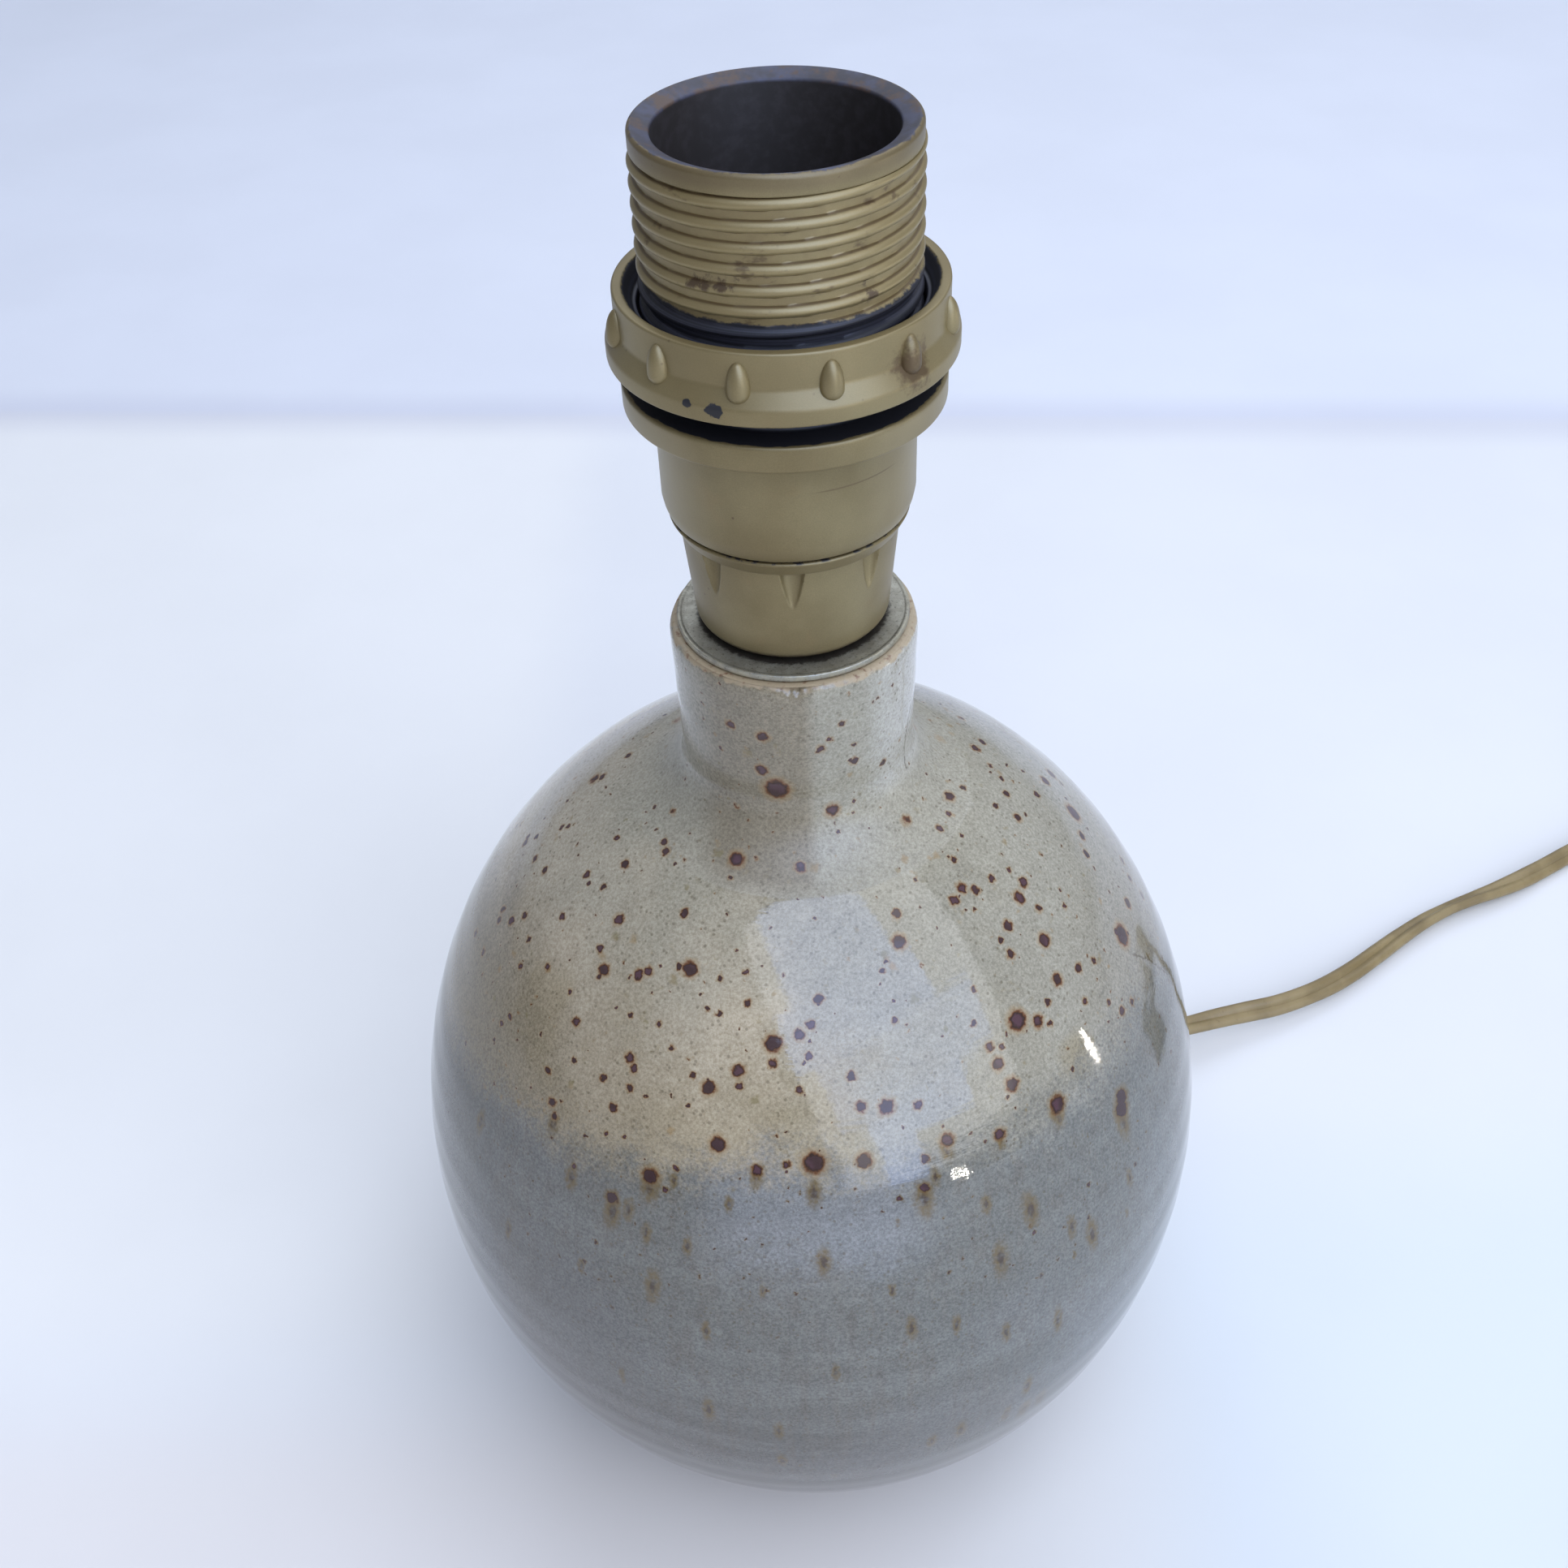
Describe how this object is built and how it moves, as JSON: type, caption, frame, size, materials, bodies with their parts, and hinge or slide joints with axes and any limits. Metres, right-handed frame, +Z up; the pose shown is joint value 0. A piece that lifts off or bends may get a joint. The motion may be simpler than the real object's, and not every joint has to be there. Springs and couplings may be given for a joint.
{
  "type": "table lamp base",
  "caption": "Stoneware table lamp base with a neck, a gold painted screw lampholder with shade ring, and a flat flex with switch and plug.",
  "frame": {"origin": "on the table, under the middle of the stoneware body's foot", "axes": "+Z up along the body's neck and the lampholder, -Y towards the viewer's side of the picture, +X towards the side that the flex leaves by"},
  "size_m": [0.4321, 0.2439, 0.2672],
  "materials": {
    "stoneware": "glossy",
    "gold_paint": "satin",
    "aged_brass": "aged",
    "bright_brass": "satin",
    "zinc_steel": "satin",
    "black_rubber": "matte",
    "dark_moulding": "satin",
    "gold_flex": "satin",
    "gold_moulding": "satin",
    "smoky_bush": "satin",
    "wire_cover_brown": "satin",
    "wire_cover_blue": "satin",
    "tie_ribbon": "matte"
  },
  "bodies": {
    "lamp": {"ceramic_body": "stoneware", "neck_disc": "aged_brass", "rubber_plug": "black_rubber", "clamp_washer": "zinc_steel", "lower_locknut": "zinc_steel", "threaded_tube": "zinc_steel", "tube_bush": "dark_moulding", "holder_cap": "gold_paint", "cap_grub_screw": "zinc_steel", "holder_shell": "gold_paint", "contact_block": "dark_moulding", "screw_shell": "bright_brass", "terminal_live": "bright_brass", "terminal_screw_live": "zinc_steel", "terminal_neutral": "bright_brass", "terminal_screw_neutral": "zinc_steel", "wire_live": "wire_cover_brown", "wire_neutral": "wire_cover_blue", "flex_inside": "gold_flex", "cord_bush": "smoky_bush", "flex_lead": "gold_flex", "flex_run": "gold_flex", "flex_tail": "gold_flex", "flex_coil": "gold_flex", "coil_tie": "tie_ribbon", "switch_base": "gold_moulding", "switch_cover": "gold_moulding", "rocker_pin": "zinc_steel", "switch_screw_1": "zinc_steel", "switch_screw_2": "zinc_steel", "switch_contact_in": "bright_brass", "switch_contact_out": "bright_brass", "switch_through_core": "wire_cover_blue", "plug_body": "gold_moulding", "plug_pin_a": "bright_brass", "plug_pin_b": "bright_brass"},
    "ring": {"shade_ring": "gold_paint"},
    "tongue": {"centre_contact": "bright_brass"},
    "rocker": {"switch_rocker": "dark_moulding"}
  },
  "joints": [
    {"name": "ring_travel", "type": "slide", "parent": "lamp", "child": "ring", "axis": [0, 0, 1], "range_m": [-0.0035, 0.02]},
    {"name": "contact_bend", "type": "hinge", "parent": "lamp", "child": "tongue", "pos_m": [0.0085, 0, 0.227], "axis": [0, -1, 0], "range_deg": [0, 8], "stiffness_Nm_per_rad": 0.5},
    {"name": "rocker_tilt", "type": "hinge", "parent": "lamp", "child": "rocker", "pos_m": [0.28994, 0.15191, 0.0126], "axis": [0.3007, -0.9537, 0], "range_deg": [0, 18]}
  ]
}
